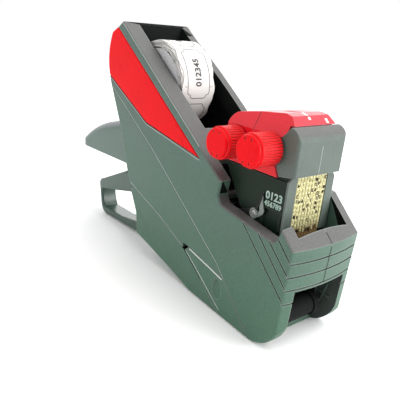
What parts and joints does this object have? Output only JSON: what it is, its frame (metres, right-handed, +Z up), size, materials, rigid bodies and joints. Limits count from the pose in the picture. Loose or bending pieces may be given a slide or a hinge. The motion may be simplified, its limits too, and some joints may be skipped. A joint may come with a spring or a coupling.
{
  "type": "price labeler",
  "caption": "hand-held price labelling gun with a squeeze lever, a sliding print head with two turning knobs, rubber type bands, a label roll, a hinged bottom flap and a front applicator roller",
  "frame": {"origin": "on the surface it rests on, under the centre of the whole gun's box", "axes": "+Z up, -Y towards the nose where the label comes out, +X to the left of someone who holds it; the knobs stand out on -X"},
  "size_m": [0.063, 0.2512, 0.1543],
  "materials": {
    "body_plastic": "moulded grey-green, fine grain",
    "head_plastic": "dark green-grey moulding",
    "red_plastic": "moulded red, satin",
    "dark_plastic": "black moulding",
    "steel": "plain turned steel",
    "rubber": "matt black",
    "type_rubber": "pale yellow moulded bands",
    "ink_foam": "inked foam",
    "label_paper": "matt white",
    "core_card": "plain brown board"
  },
  "bodies": {
    "case": {"right_shell": "body_plastic", "left_shell": "body_plastic", "right_side_panel": "red_plastic", "left_side_panel": "red_plastic", "handle": "body_plastic", "lever_pivot_pin": "steel", "flap_hinge_pins": "steel", "roll_axle": "steel", "label_web": "label_paper", "platen": "dark_plastic", "peel_edge": "steel", "right_head_guide": "dark_plastic", "left_head_guide": "dark_plastic", "feed_shaft": "steel", "applicator_axle": "steel", "case_screws": "steel"},
    "lever": {"trigger_lever": "body_plastic"},
    "print_head": {"right_head_frame": "head_plastic", "left_head_frame": "head_plastic", "head_drive_pin": "steel", "front_type_bands": "type_rubber", "rear_type_bands": "type_rubber", "front_type_wheels": "dark_plastic", "rear_type_wheels": "dark_plastic", "front_type_anvil": "dark_plastic", "rear_type_anvil": "dark_plastic", "front_housing": "head_plastic", "top_cover": "red_plastic", "ink_holder_pivots": "steel"},
    "front_selector": {"front_detent_sleeve": "steel"},
    "front_dial": {"front_knob": "red_plastic"},
    "rear_selector": {"rear_detent_sleeve": "steel"},
    "rear_dial": {"rear_knob": "red_plastic"},
    "flap": {"bottom_flap": "body_plastic"},
    "right_catch_body": {"right_catch": "body_plastic"},
    "left_catch_body": {"left_catch": "body_plastic"},
    "roll": {"label_core": "core_card", "label_roll_body": "label_paper", "label_roll_outer": "label_paper", "right_roll_hub": "dark_plastic", "left_roll_hub": "dark_plastic"},
    "feed": {"feed_wheel": "dark_plastic"},
    "pawl_arm": {"feed_arm": "dark_plastic"},
    "applicator": {"applicator_roller": "rubber"},
    "ink_carrier": {"ink_holder": "dark_plastic"},
    "ink": {"ink_roller": "ink_foam"}
  },
  "joints": [
    {"name": "lever_squeeze", "type": "hinge", "parent": "case", "child": "lever", "pos_m": [0.0045, -0.039, 0.048], "axis": [1, 0, 0], "range_deg": [0, 12], "stiffness_Nm_per_rad": 1.2, "springref_deg": -22.92},
    {"name": "head_press", "type": "slide", "parent": "case", "child": "print_head", "axis": [0, 0, -1], "range_m": [0, 0.0089]},
    {"name": "front_selector_pull", "type": "slide", "parent": "print_head", "child": "front_selector", "axis": [-1, 0, 0], "range_m": [0, 0.018]},
    {"name": "front_knob_turn", "type": "hinge", "parent": "front_selector", "child": "front_dial", "pos_m": [-0.0255, -0.0934, 0.1028], "axis": [-1, 0, 0], "continuous": true},
    {"name": "rear_selector_pull", "type": "slide", "parent": "print_head", "child": "rear_selector", "axis": [-1, 0, 0], "range_m": [0, 0.018]},
    {"name": "rear_knob_turn", "type": "hinge", "parent": "rear_selector", "child": "rear_dial", "pos_m": [-0.0235, -0.0685, 0.1006], "axis": [-1, 0, 0], "continuous": true},
    {"name": "flap_open", "type": "hinge", "parent": "case", "child": "flap", "pos_m": [0.0045, 0.0213, 0.0422], "axis": [1, 0, 0], "range_deg": [0, 50]},
    {"name": "right_catch_press", "type": "slide", "parent": "case", "child": "right_catch_body", "axis": [1, 0, 0], "range_m": [0, 0.002], "stiffness_N_per_m": 1500, "springref_m": -0.003},
    {"name": "left_catch_press", "type": "slide", "parent": "case", "child": "left_catch_body", "axis": [-1, 0, 0], "range_m": [0, 0.002], "stiffness_N_per_m": 1500, "springref_m": -0.003},
    {"name": "roll_turn", "type": "hinge", "parent": "case", "child": "roll", "pos_m": [0.0045, 0.017, 0.1186], "axis": [1, 0, 0], "continuous": true},
    {"name": "feed_wheel_turn", "type": "hinge", "parent": "case", "child": "feed", "pos_m": [0.0045, -0.092, 0.0204], "axis": [1, 0, 0], "continuous": true},
    {"name": "feed_arm_swing", "type": "hinge", "parent": "case", "child": "pawl_arm", "pos_m": [0.0145, -0.092, 0.0204], "axis": [1, 0, 0], "range_deg": [-19, 0.5]},
    {"name": "applicator_turn", "type": "hinge", "parent": "case", "child": "applicator", "pos_m": [0.0045, -0.1083, 0.014], "axis": [1, 0, 0], "continuous": true},
    {"name": "ink_holder_swing", "type": "hinge", "parent": "print_head", "child": "ink_carrier", "pos_m": [0.0045, -0.0874, 0.0663], "axis": [1, 0, 0], "range_deg": [-12, 0], "stiffness_Nm_per_rad": 0.1, "springref_deg": 17.19},
    {"name": "ink_roller_turn", "type": "hinge", "parent": "ink_carrier", "child": "ink", "pos_m": [0.0045, -0.07, 0.06], "axis": [1, 0, 0], "continuous": true}
  ],
  "couplings": [
    {"joint": "head_press", "follows": "lever_squeeze", "m_per_rad": 0.04161},
    {"joint": "feed_arm_swing", "follows": "lever_squeeze", "ratio": -1.5}
  ]
}
